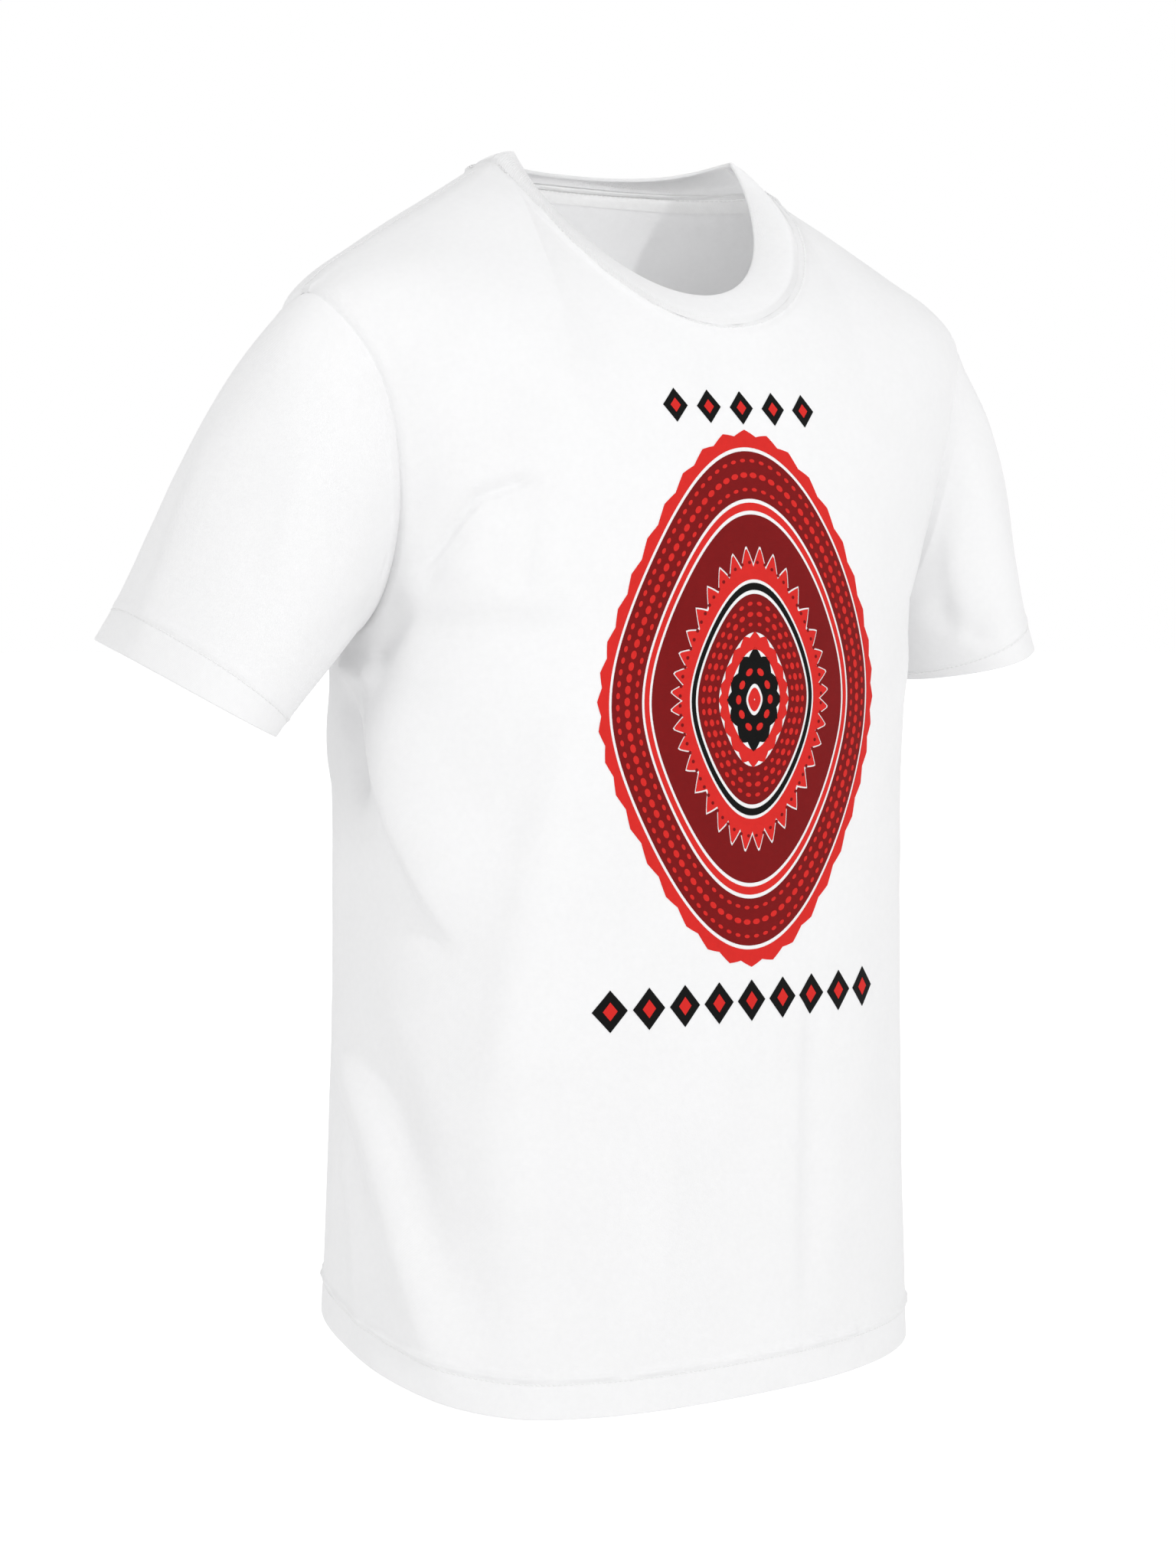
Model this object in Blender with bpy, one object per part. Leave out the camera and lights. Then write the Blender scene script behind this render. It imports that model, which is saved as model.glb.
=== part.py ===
"""A short-sleeved crew-neck T-shirt, standing in the shape that a body gives it.

Metres, +Z up. The front faces -Y, the wearer's left is +X, and the lowest part of the hem is at Z 0.
The torso is one surface, body_surface(turn, height), where turn is the angle round the body: 0 at the
middle of the front, 90 degrees at the wearer's left side seam. The seams are curves on that surface,
and each panel, band and sleeve is a thin shell between its seams.
"""

import math

import bmesh
import bpy
import numpy as np

# Lengths and widths, as a garment's size chart gives them.
BODY_LENGTH = 0.741  # from the shoulder seam at the collar down to the hem
SLEEVE_HEM_WIDTH = 0.022
BODY_HEM_WIDTH = 0.023
TAPE_WIDTH = 0.010
TAPE_BELOW_SEAM = 0.0015

# Thicknesses of the cloth.
JERSEY = 0.0009
HEM_THICKNESS = 0.0018
HEM_PROUD = 0.0004  # how far a folded hem stands out from the single cloth
RIB_THICKNESS = 0.0018
TAPE_THICKNESS = 0.0006
TAPE_DEPTH = 0.0018  # from the torso's outer side in to the tape
SEAM_GAP = 0.0004  # between two pieces that meet at a seam
COLLAR_PROUD = 0.0002

# Where the torso's seams run.
UNDERARM_HEIGHT = 0.460
SHOULDER_TIP_HEIGHT = 0.652
NECK_HALF_WIDTH = 0.099
FRONT_NECK_DROP = 0.100
BACK_NECK_DROP = 0.002
ARMHOLE_FRONT_SCOOP = 0.056
ARMHOLE_BACK_SCOOP = 0.058

# The hem rides up behind the wearer's right side: how far, the turn of its highest place, and how
# far round to either side it reaches.
HEM_HITCH = 0.038
HITCH_TURN = math.radians(-112)
HITCH_REACH = math.radians(65)
HITCH_FADE = 0.28  # the cloth's height over which the rows above level out again

# The collar's free edge: its half width and its heights and depths at the side, front and back.
COLLAR_HALF_WIDTH = 0.081
COLLAR_SIDE = (-0.008, BODY_LENGTH + 0.010)
COLLAR_FRONT = (-0.086, BODY_LENGTH - 0.081)
COLLAR_BACK = (0.060, BODY_LENGTH + 0.0085)
COLLAR_CROWN = 0.0022  # how far the band bows up between its edges
COLLAR_START = 0.02  # the share of the band's width that is left free at its seam

# The torso's cross-sections: height, half width, depth in front of and behind the side seam's line,
# and the Y of that line.
SECTIONS = np.array(
    [
        (0.000, 0.1975, 0.1405, 0.134, 0.000),
        (0.120, 0.1925, 0.1380, 0.129, 0.000),
        (0.260, 0.1890, 0.1365, 0.124, 0.000),
        (0.400, 0.1895, 0.1360, 0.127, -0.002),
        (0.460, 0.1930, 0.1330, 0.131, -0.006),
        (0.520, 0.2080, 0.1220, 0.136, -0.014),
        (0.560, 0.2205, 0.1120, 0.137, -0.019),
        (0.590, 0.2300, 0.1015, 0.136, -0.024),
        (0.615, 0.2360, 0.0915, 0.134, -0.027),
        (0.635, 0.2385, 0.0830, 0.131, -0.029),
        (0.652, 0.2350, 0.0755, 0.127, -0.029),
        (0.668, 0.2190, 0.0680, 0.121, -0.027),
        (0.685, 0.1915, 0.0600, 0.114, -0.023),
        (0.710, 0.1490, 0.0480, 0.101, -0.017),
        (0.741, 0.0990, 0.0250, 0.078, -0.009),
        (0.760, 0.0750, 0.0140, 0.066, -0.006),
    ]
)
SQUARENESS = 2.35  # exponent of the cross-section's superellipse; 2 is an ellipse
MIDDLE = np.array([-0.01185, -0.00325, 0])  # of the shirt's plan, sleeves and all, from the body's axis

# The sleeves: the middle of each opening, its arm's lean from the vertical and swing to the back in
# degrees.
SLEEVES = {
    "right": {"side": -1, "middle": (-0.2905, 0.020, 0.426), "lean": 26.5, "swing": 12},
    "left": {"side": 1, "middle": (0.264, 0.002, 0.440), "lean": 18, "swing": 2},
}
CUFF_HALF_DEPTH = 0.087
CUFF_HALF_THICKNESS = 0.049
SLEEVE_LENGTH = 0.20
SHOULDER_BOW = 0.010  # how far a sleeve bows out over the top of the shoulder; none at the underarm

# Broad folds of the torso: (turn, height) at both ends in degrees and metres, the height of the
# fold, which is negative for a valley, and its width on the side of smaller and of larger turn.
FOLDS = [
    ((-88, 0.430), (-64, 0.250), 0.009, 0.013, 0.030),
    ((-90, 0.170), (-66, 0.015), 0.008, 0.013, 0.028),
    ((-39, 0.500), (-60, 0.200), 0.005, 0.040, 0.030),
    ((-72, 0.490), (-54, 0.560), -0.004, 0.014, 0.012),
    ((-76, 0.440), (-38, 0.440), -0.003, 0.030, 0.022),
]
FOLD_REACH = 0.17  # metres of cloth for each radian of turn

# Grids. A panel's columns run from the hem up to the neckline, or to the shoulder seam beside it, and
# its rows from the side seam and the armhole across. Sleeves and collar meet them one to one.
FRONT_NECK_COLUMNS = 8  # in half a panel
BACK_NECK_COLUMNS = 6
SHOULDER_COLUMNS = 6
LOW_ROWS = 14
ARMHOLE_ROWS = 14
SLEEVE_ROWS = 9
COLLAR_ROWS = 2
UNDERARM_T = 0.62  # how far up a panel its rows reach the underarm
TURN_PULL = 2.5  # how closely a panel's grid keeps its edges' shape near them; higher is closer
HEIGHT_PULL = 6
RIGHT_ANGLE = math.pi / 2


def profile(heights, column):
    """A column of SECTIONS at these heights, as a smooth curve through its rows."""
    knots = SECTIONS[:, 0]
    values = SECTIONS[:, column]
    slopes = np.gradient(values, knots)
    heights = np.clip(heights, knots[0], knots[-1])
    i = np.clip(np.searchsorted(knots, heights, side="right") - 1, 0, len(knots) - 2)
    span = knots[i + 1] - knots[i]
    u = (heights - knots[i]) / span
    start = (1 + 2 * u) * (1 - u) ** 2 * values[i] + u * (1 - u) ** 2 * span * slopes[i]
    end = u * u * (3 - 2 * u) * values[i + 1] - u * u * (1 - u) * span * slopes[i + 1]
    return start + end


def fold_height(turn, height):
    """How far the folds push the cloth out at this place."""
    total = np.zeros(np.broadcast(turn, height).shape)
    for (turn_1, height_1), (turn_2, height_2), rise, width_low, width_high in FOLDS:
        start = np.array([math.radians(turn_1) * FOLD_REACH, height_1])
        run = np.array([math.radians(turn_2) * FOLD_REACH, height_2]) - start
        if run[1] > 0:
            start, run = start + run, -run
        length = np.hypot(*run)
        across_x, across_z = turn * FOLD_REACH - start[0], height - start[1]
        along = (across_x * run[0] + across_z * run[1]) / length**2
        side = (across_x * -run[1] + across_z * run[0]) / length
        width = np.where(side > 0, width_high, width_low)
        fade = np.exp(-((np.clip(np.abs(along - 0.5) - 0.32, 0, None) / 0.2) ** 2))
        total += rise * np.exp(-((side / width) ** 2)) * fade
    return total


def body_surface(turn, height):
    """Points of the torso's outer surface, turn in radians."""
    half_width = profile(height, 1)
    front, back = profile(height, 2), profile(height, 3)
    sine, cosine = np.sin(turn), np.cos(turn)
    depth = np.where(cosine > 0, front, back)
    n = SQUARENESS
    reach = ((np.abs(sine) / half_width) ** n + (np.abs(cosine) / depth) ** n) ** (-1 / n)
    wrapped = (turn + math.pi) % (2 * math.pi) - math.pi
    reach = reach + fold_height(wrapped, height)
    return np.stack([reach * sine, profile(height, 4) - reach * cosine, height], axis=-1)


def unit(vectors):
    return vectors / np.linalg.norm(vectors, axis=-1, keepdims=True)


def normals_of(surface, u, v, step_u=1e-3, step_v=1e-4):
    """Unit normals of a surface, from the differences between points close by."""
    along_u = surface(u + step_u, v) - surface(u - step_u, v)
    along_v = surface(u, v + step_v) - surface(u, v - step_v)
    return unit(np.cross(along_u, along_v))


def turn_from_side(y, height, side):
    """The turn of the surface's point that has this Y, near a side seam."""
    forward = profile(height, 4) - y
    depth = np.where(forward > 0, profile(height, 2), profile(height, 3))
    share = np.clip(np.abs(forward) / depth, 0, 1) ** SQUARENESS
    x = profile(height, 1) * (1 - share) ** (1 / SQUARENESS)
    return side * np.arctan2(x, forward)


def turn_from_x(x, height, back):
    """The turn, from the middle of the front or the back, of the unfolded surface's point at this X."""
    share = np.clip(np.abs(x) / profile(height, 1), 0, 1) ** SQUARENESS
    forward = profile(height, 3 if back else 2) * (1 - share) ** (1 / SQUARENESS)
    return np.arctan2(x, forward)


def armhole(around, side):
    """(turn, height) of the armhole seam, around being 0 at the shoulder and 90 degrees in front."""
    middle = (SHOULDER_TIP_HEIGHT + UNDERARM_HEIGHT) / 2
    half = (SHOULDER_TIP_HEIGHT - UNDERARM_HEIGHT) / 2
    height = middle + half * np.cos(around)
    scoop = np.where(np.sin(around) > 0, ARMHOLE_FRONT_SCOOP, ARMHOLE_BACK_SCOOP)
    y = profile(height, 4) - scoop * np.sin(around)
    return turn_from_side(y, height, side), height


def neckline(around):
    """(turn, height) of the collar's seam, around being 0 in front and 90 degrees at the left."""
    x = NECK_HALF_WIDTH * np.sin(around)
    front_height = BODY_LENGTH - FRONT_NECK_DROP * np.abs(np.cos(around))
    back_height = BODY_LENGTH - BACK_NECK_DROP * np.abs(np.cos(around))
    front = np.cos(around) > 0
    back_turn = math.pi - turn_from_x(x, back_height, True)
    turn = np.where(front, turn_from_x(x, front_height, False), back_turn)
    return turn, np.where(front, front_height, back_height)


def hem_height(turn):
    """The hem's lower edge: level, apart from where it rides up."""
    away = (turn - HITCH_TURN + math.pi) % (2 * math.pi) - math.pi
    share = np.clip(np.abs(away) / HITCH_REACH, 0, 1)
    return HEM_HITCH * np.cos(share * RIGHT_ANGLE) ** 2


def panel_top(s, back):
    """(x, height) of a panel's top edge: the neckline in the middle, the shoulder seams beside it."""
    share = neck_share(back)
    down_shoulder = np.clip((np.abs(s) - share) / (1 - share), 0, 1)
    height = BODY_LENGTH + down_shoulder * (SHOULDER_TIP_HEIGHT - BODY_LENGTH)
    x = np.sign(s) * profile(height, 1)
    around = np.clip(s / share, -1, 1) * RIGHT_ANGLE
    neck_height = neckline(math.pi - around if back else around)[1]
    in_neck = np.abs(s) < share
    x = np.where(in_neck, NECK_HALF_WIDTH * np.sin(around), x)
    return x, np.where(in_neck, neck_height - SEAM_GAP, height)


def neck_share(back):
    neck = BACK_NECK_COLUMNS if back else FRONT_NECK_COLUMNS
    return neck / (neck + SHOULDER_COLUMNS)


def panel_place(s, t, back):
    """(turn, height) on a panel, s from -1 to 1 across it and t from 0 to 1 up it.

    Up to the underarm the columns stand at even turns. Above it they change over to straight lines
    in the front view, and all through they are drawn in along the armhole.
    """
    low = np.clip(t / UNDERARM_T, 0, 1)
    v = np.clip((t - UNDERARM_T) / (1 - UNDERARM_T), 0, 1)
    top_x, top_height = panel_top(s, back)
    around = math.pi * (1 - v)
    edge_turn, edge_height = armhole(-around if back else around, 1)
    edge_turn = math.pi - edge_turn if back else edge_turn
    edge_x = body_half_width(edge_turn, edge_height, back)
    low_x = body_half_width(np.abs(s) * RIGHT_ANGLE, UNDERARM_HEIGHT, back) * np.sign(s)

    base_height = BODY_HEM_WIDTH + low * (UNDERARM_HEIGHT - BODY_HEM_WIDTH)
    height = base_height + v * (top_height - UNDERARM_HEIGHT)
    straight_height = UNDERARM_HEIGHT + v * (SHOULDER_TIP_HEIGHT - UNDERARM_HEIGHT)
    height = height + np.abs(s) ** HEIGHT_PULL * (edge_height - straight_height) * (v > 0)
    pull = np.sign(s) * np.abs(s) ** TURN_PULL
    even_turn = s * RIGHT_ANGLE + pull * (edge_turn - RIGHT_ANGLE)
    straight_x = profile(UNDERARM_HEIGHT, 1) * (1 - v) + profile(SHOULDER_TIP_HEIGHT, 1) * v
    x = low_x * (1 - v) + top_x * v + pull * (edge_x - straight_x)
    share = smooth_step(v * 1.4)
    turn = even_turn * (1 - share) + turn_from_x(x, height, back) * share
    limit = RIGHT_ANGLE - SEAM_GAP / 2 / profile(height, 1)
    turn = np.clip(turn, -limit, limit)
    turn = math.pi - turn if back else turn
    height = height + hem_height(turn) * (1 - smooth_step((height - BODY_HEM_WIDTH) / HITCH_FADE))
    return turn, height


def body_half_width(turn, height, back):
    """X of the unfolded surface at this turn from the middle of the front or the back."""
    depth = profile(height, 3 if back else 2)
    sine, cosine = np.sin(turn), np.cos(turn)
    n = SQUARENESS
    scaled = (np.abs(sine) / profile(height, 1)) ** n + (np.abs(cosine) / depth) ** n
    return np.abs(sine) * scaled ** (-1 / n)


def smooth_step(x):
    x = np.clip(x, 0, 1)
    return x * x * (3 - 2 * x)


def into_armhole(around, side):
    """Directions along the torso from the armhole's edge towards the hole's middle."""
    step = 1e-3
    here = body_surface(*armhole(around, side))
    along_seam = body_surface(*armhole(around + step, side)) - body_surface(*armhole(around - step, side))
    into_hole = unit(np.cross(torso_normals(*armhole(around, side)), along_seam))
    front = body_surface(*armhole(np.array(RIGHT_ANGLE), side))
    back = body_surface(*armhole(np.array(-RIGHT_ANGLE), side))
    towards = np.sum(into_hole * ((front + back) / 2 - here), axis=-1, keepdims=True)
    return into_hole * np.sign(towards)


def sleeve_start(around, side):
    """The sleeve's edge at the armhole, a seam's gap clear of the panels' edge."""
    place = armhole(around, side)
    lift = torso_normals(*place) * SEAM_GAP / 2
    return body_surface(*place) + into_armhole(around, side) * SEAM_GAP + lift


def sleeve_surface(sleeve, around, along):
    """Points of a sleeve, from the armhole at along 0 to the cuff's edge at along 1."""
    arm, out, back = sleeve_frame(sleeve)
    cosine, sine = np.cos(around)[..., None], np.sin(around)[..., None]
    start = sleeve_start(around, sleeve["side"])
    end = np.array(sleeve["middle"]) + CUFF_HALF_THICKNESS * cosine * out - CUFF_HALF_DEPTH * sine * back
    u = along[..., None]
    outward = unit(cosine * out - sine * back)
    # The last factors come to 1 at their highest, a third of the way along the sleeve.
    bow = SHOULDER_BOW * (1 + cosine) / 2 * u * (1 - u) ** 2 * 27 / 4
    return start * (1 - u) + end * u + bow * outward


def sleeve_frame(sleeve):
    """The arm's direction, and the cuff's outward and backward directions."""
    lean, swing = math.radians(sleeve["lean"]), math.radians(sleeve["swing"])
    side = sleeve["side"]
    down = -math.cos(lean)
    arm = np.array([side * math.sin(lean), -down * math.sin(swing), down * math.cos(swing)])
    back = np.array([0, math.cos(swing), math.sin(swing)])
    out = np.cross(arm, back) * side
    return arm, out, back


def sleeve_normals(sleeve, around, along):
    """Outward normals of a sleeve, the torso's own where the sleeve leaves it smoothly."""
    side = sleeve["side"]
    own = side * normals_of(lambda a, b: sleeve_surface(sleeve, a, b), around, along)
    torso = torso_normals(*armhole(around, side))
    start = sleeve_surface(sleeve, around, np.zeros_like(around))
    leaving = unit(sleeve_surface(sleeve, around, np.full_like(around, 0.05)) - start)
    agree = np.clip((np.sum(own * torso, axis=-1) - 0.2) / 0.4, 0, 1)
    onward = np.clip((np.sum(leaving * into_armhole(around, side), axis=-1) - 0.05) / 0.2, 0, 1)
    share = (agree * onward * (1 - smooth_step(along * 8)))[..., None]
    return unit(own * (1 - share) + torso * share)


def torso_normals(turn, height):
    return normals_of(body_surface, turn, height)


def collar_edge(around):
    """The collar's free edge."""
    front = np.clip(np.cos(around), 0, 1)
    rear = np.clip(-np.cos(around), 0, 1)
    y = COLLAR_SIDE[0] + front * (COLLAR_FRONT[0] - COLLAR_SIDE[0]) + rear * (COLLAR_BACK[0] - COLLAR_SIDE[0])
    z = COLLAR_SIDE[1] + front * (COLLAR_FRONT[1] - COLLAR_SIDE[1]) + rear * (COLLAR_BACK[1] - COLLAR_SIDE[1])
    return np.stack([COLLAR_HALF_WIDTH * np.sin(around), y, z], axis=-1)


def collar_surface(around, along):
    """Points of the collar, from its seam at along 0 to its free edge at along 1."""
    seam = body_surface(*neckline(around))
    u = along[..., None]
    lift = np.array([0, 0, COLLAR_CROWN]) * (4 * u * (1 - u))
    return seam * (1 - u) + collar_edge(around) * u + lift


def collar_normals(around, along):
    own = normals_of(collar_surface, around, along)
    torso = torso_normals(*neckline(around))
    share = (1 - smooth_step(along * 2.5))[..., None]
    return unit(own * (1 - share) + torso * share)


def shell(name, material, outer, normals, thickness, proud=0.0, closed=False):
    """A thin closed shell: a grid on the outer side, its copy inside, and walls round the rims.

    outer and normals are rows by columns of points; proud lifts the outer side off the surface.
    """
    rows, columns = outer.shape[0] - 1, outer.shape[1] - 1
    mesh = bmesh.new()
    row_of = mesh.verts.layers.int.new("row")
    column_of = mesh.verts.layers.int.new("column")
    grid = bmesh.ops.create_grid(mesh, x_segments=columns, y_segments=rows, size=0.5)
    for vertex in grid["verts"]:
        column = round((vertex.co.x + 0.5) * columns)
        vertex[row_of] = round((vertex.co.y + 0.5) * rows)
        vertex[column_of] = column % columns if closed else column
    place(mesh.verts, row_of, column_of, outer + normals * proud)
    if closed:
        bmesh.ops.remove_doubles(mesh, verts=mesh.verts, dist=1e-6)
    # The two sides are split alike, so that they never cross.
    bmesh.ops.triangulate(mesh, faces=mesh.faces, quad_method="SHORT_EDGE")
    copy = bmesh.ops.duplicate(mesh, geom=mesh.verts[:] + mesh.edges[:] + mesh.faces[:])["geom"]
    inner_verts = [item for item in copy if isinstance(item, bmesh.types.BMVert)]
    place(inner_verts, row_of, column_of, outer + normals * (proud - thickness))
    bmesh.ops.reverse_faces(mesh, faces=[item for item in copy if isinstance(item, bmesh.types.BMFace)])
    rim = [edge for edge in mesh.edges if edge.is_boundary]
    if closed:
        for row in (0, rows):
            bmesh.ops.bridge_loops(mesh, edges=[edge for edge in rim if edge.verts[0][row_of] == row])
    else:
        bmesh.ops.bridge_loops(mesh, edges=rim)
    bmesh.ops.recalc_face_normals(mesh, faces=mesh.faces)
    data = bpy.data.meshes.new(name)
    mesh.to_mesh(data)
    mesh.free()
    data.shade_smooth()
    data.set_sharp_from_angle(angle=math.radians(50))
    data.materials.append(material)
    piece = bpy.data.objects.new(name, data)
    bpy.data.collections["t_shirt"].objects.link(piece)
    return piece


def place(verts, row_of, column_of, points):
    """Put each vertex at its point, the middle of the shirt's plan at the origin."""
    for vertex in verts:
        vertex.co = points[vertex[row_of], vertex[column_of]] - MIDDLE


def cloth(name, colour, roughness):
    material = bpy.data.materials.new(name)
    material.use_nodes = True
    surface = material.node_tree.nodes["Principled BSDF"]
    surface.inputs["Base Color"].default_value = (*colour, 1)
    surface.inputs["Roughness"].default_value = roughness
    surface.inputs["Metallic"].default_value = 0
    material.diffuse_color = (*colour, 1)
    return material


def across(back):
    """Values of s for a panel's columns."""
    neck = BACK_NECK_COLUMNS if back else FRONT_NECK_COLUMNS
    return np.linspace(-1, 1, 2 * (neck + SHOULDER_COLUMNS) + 1)


def up():
    """Values of t for a panel's rows, with one at the underarm."""
    low = np.linspace(0, UNDERARM_T, LOW_ROWS + 1)[:-1]
    return np.concatenate([low, np.linspace(UNDERARM_T, 1, ARMHOLE_ROWS + 1)])


def panel(name, material, back):
    """The front or back of the torso, from the top of its hem band to the neckline and shoulders."""
    s, t = np.meshgrid(across(back), up())
    turn, height = panel_place(s, t, back)
    return shell(name, material, body_surface(turn, height), torso_normals(turn, height), JERSEY)


def hem_band(name, material, back):
    """The folded band along the bottom of the front or the back."""
    limit = RIGHT_ANGLE - SEAM_GAP / 2 / profile(BODY_HEM_WIDTH, 1)
    turn = np.clip(across(back) * RIGHT_ANGLE, -limit, limit)
    turn = math.pi - turn if back else turn
    level = np.array([0, 1])[:, None]
    height = hem_height(turn) + level * (BODY_HEM_WIDTH - SEAM_GAP)
    turn = np.broadcast_to(turn, height.shape)
    normals = torso_normals(turn, height)
    normals[..., 2] = 0
    return shell(name, material, body_surface(turn, height), unit(normals), HEM_THICKNESS, HEM_PROUD)


def sleeve_tube(name, material, sleeve, along, thickness, proud):
    """A length of a sleeve, with rows at these values of along."""
    around = np.linspace(0, 2 * math.pi, 2 * ARMHOLE_ROWS + 1)
    around, along = np.meshgrid(around, along)
    outer = sleeve_surface(sleeve, around, along)
    normals = sleeve_normals(sleeve, around, along)
    return shell(name, material, outer, normals, thickness, proud, closed=True)


def sleeve_pair(material):
    hem = 1 - SLEEVE_HEM_WIDTH / SLEEVE_LENGTH
    gap = SEAM_GAP / SLEEVE_LENGTH
    for side, sleeve in SLEEVES.items():
        rows = np.linspace(0, hem, SLEEVE_ROWS + 1)
        sleeve_tube(f"{side}_sleeve", material, sleeve, rows, JERSEY, 0)
        rows = np.array([hem + gap, 1])
        sleeve_tube(f"{side}_sleeve_hem", material, sleeve, rows, HEM_THICKNESS, HEM_PROUD)


def neck_rows():
    """Turns round the neck that meet the columns of the front, and then of the back."""
    front = np.linspace(-1, 1, 2 * FRONT_NECK_COLUMNS + 1)[:-1]
    back = np.linspace(1, 3, 2 * BACK_NECK_COLUMNS + 1)
    return np.concatenate([front, back]) * RIGHT_ANGLE


def collar(material):
    """The ribbed band round the neck."""
    around, along = np.meshgrid(neck_rows(), np.linspace(COLLAR_START, 1, COLLAR_ROWS + 1))
    outer = collar_surface(around, along)
    normals = collar_normals(around, along)
    return shell("collar", material, outer, normals, RIB_THICKNESS, COLLAR_PROUD, closed=True)


def neck_tape(material):
    """The narrow tape that covers the collar's seam inside the back of the neck."""
    # It ends three columns short of the shoulder seams, where the neckline turns sharply.
    columns = np.linspace(1, 3, 2 * BACK_NECK_COLUMNS + 1)[3:-3]
    turn, height = neckline(columns * RIGHT_ANGLE)
    height = height - TAPE_BELOW_SEAM - np.array([1, 0])[:, None] * TAPE_WIDTH
    turn = np.broadcast_to(turn, height.shape)
    normals = torso_normals(turn, height)
    return shell("neck_tape", material, body_surface(turn, height), normals, TAPE_THICKNESS, -TAPE_DEPTH)


def main():
    for old in list(bpy.data.objects):
        bpy.data.objects.remove(old, do_unlink=True)
    shirt = bpy.data.collections.new("t_shirt")
    bpy.context.scene.collection.children.link(shirt)
    jersey = cloth("white_jersey", (0.92, 0.92, 0.92), 0.9)
    rib = cloth("white_rib", (0.90, 0.90, 0.90), 0.92)
    twill = cloth("white_twill", (0.86, 0.86, 0.85), 0.85)

    panel("front_panel", jersey, back=False)
    panel("back_panel", jersey, back=True)
    hem_band("front_hem", jersey, back=False)
    hem_band("back_hem", jersey, back=True)
    sleeve_pair(jersey)
    collar(rib)
    neck_tape(twill)


main()
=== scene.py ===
import math

import bmesh
import bpy
import numpy as np
from mathutils import Matrix, Vector, kdtree, noise


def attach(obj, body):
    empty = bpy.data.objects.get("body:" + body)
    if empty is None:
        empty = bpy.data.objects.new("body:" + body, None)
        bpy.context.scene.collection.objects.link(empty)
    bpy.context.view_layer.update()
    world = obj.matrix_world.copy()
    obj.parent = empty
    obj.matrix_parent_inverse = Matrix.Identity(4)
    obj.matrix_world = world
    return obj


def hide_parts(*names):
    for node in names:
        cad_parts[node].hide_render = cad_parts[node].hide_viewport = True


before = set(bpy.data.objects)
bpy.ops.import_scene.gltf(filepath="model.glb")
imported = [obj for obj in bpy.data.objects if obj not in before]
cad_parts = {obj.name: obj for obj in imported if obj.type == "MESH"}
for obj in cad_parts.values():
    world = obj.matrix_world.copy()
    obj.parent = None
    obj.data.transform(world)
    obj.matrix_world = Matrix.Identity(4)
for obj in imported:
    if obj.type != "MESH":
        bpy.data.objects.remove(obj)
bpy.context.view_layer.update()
print("frame loaded")

rightAngle = math.pi / 2

# The torso's form, as the solids have it. Turns are round the body: 0 in front and
# 90 degrees at the wearer's left.
body = {
    "length": 0.741,
    "underarm": 0.460,
    "shoulderTip": 0.652,
    "neckHalfWidth": 0.099,
    "frontNeckDrop": 0.100,
    "backNeckDrop": -0.004,
    "frontScoop": 0.056,
    "backScoop": 0.058,
    "middle": np.array([-0.01185, -0.00325, 0]),
    "squareness": 2.35,
    # height, half width, depth in front, depth behind, Y of the side line
    "sections": np.array([
        (0.000, 0.1975, 0.1405, 0.134, 0.000),
        (0.120, 0.1925, 0.1380, 0.129, 0.000),
        (0.260, 0.1890, 0.1365, 0.124, 0.000),
        (0.400, 0.1895, 0.1360, 0.127, -0.002),
        (0.460, 0.1930, 0.1330, 0.131, -0.006),
        (0.520, 0.2080, 0.1220, 0.136, -0.014),
        (0.560, 0.2205, 0.1120, 0.137, -0.019),
        (0.590, 0.2300, 0.1015, 0.136, -0.024),
        (0.615, 0.2360, 0.0915, 0.134, -0.027),
        (0.635, 0.2385, 0.0830, 0.131, -0.029),
        (0.652, 0.2350, 0.0755, 0.127, -0.029),
        (0.668, 0.2190, 0.0680, 0.121, -0.027),
        (0.685, 0.1915, 0.0600, 0.114, -0.023),
        (0.710, 0.1490, 0.0480, 0.101, -0.017),
        (0.741, 0.0990, 0.0250, 0.078, -0.009),
        (0.760, 0.0750, 0.0140, 0.066, -0.006),
    ]),
}

sectionColumns = {"halfWidth": 1, "front": 2, "back": 3, "sideY": 4}


def unit(vectors):
    return vectors / np.linalg.norm(vectors, axis=-1, keepdims=True)


def smoothStep(x):
    x = np.clip(x, 0, 1)
    return x * x * (3 - 2 * x)


def bell(distance, place, width):
    return np.exp(-((distance - place) / width) ** 2)


def profile(heights, column):
    knots = body["sections"][:, 0]
    values = body["sections"][:, sectionColumns[column]]
    slopes = np.gradient(values, knots)
    heights = np.clip(heights, knots[0], knots[-1])
    i = np.clip(np.searchsorted(knots, heights, side="right") - 1, 0, len(knots) - 2)
    span = knots[i + 1] - knots[i]
    u = (heights - knots[i]) / span
    start = (1 + 2 * u) * (1 - u) ** 2 * values[i] + u * (1 - u) ** 2 * span * slopes[i]
    end = u * u * (3 - 2 * u) * values[i + 1] - u * u * (1 - u) * span * slopes[i + 1]
    return start + end


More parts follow.
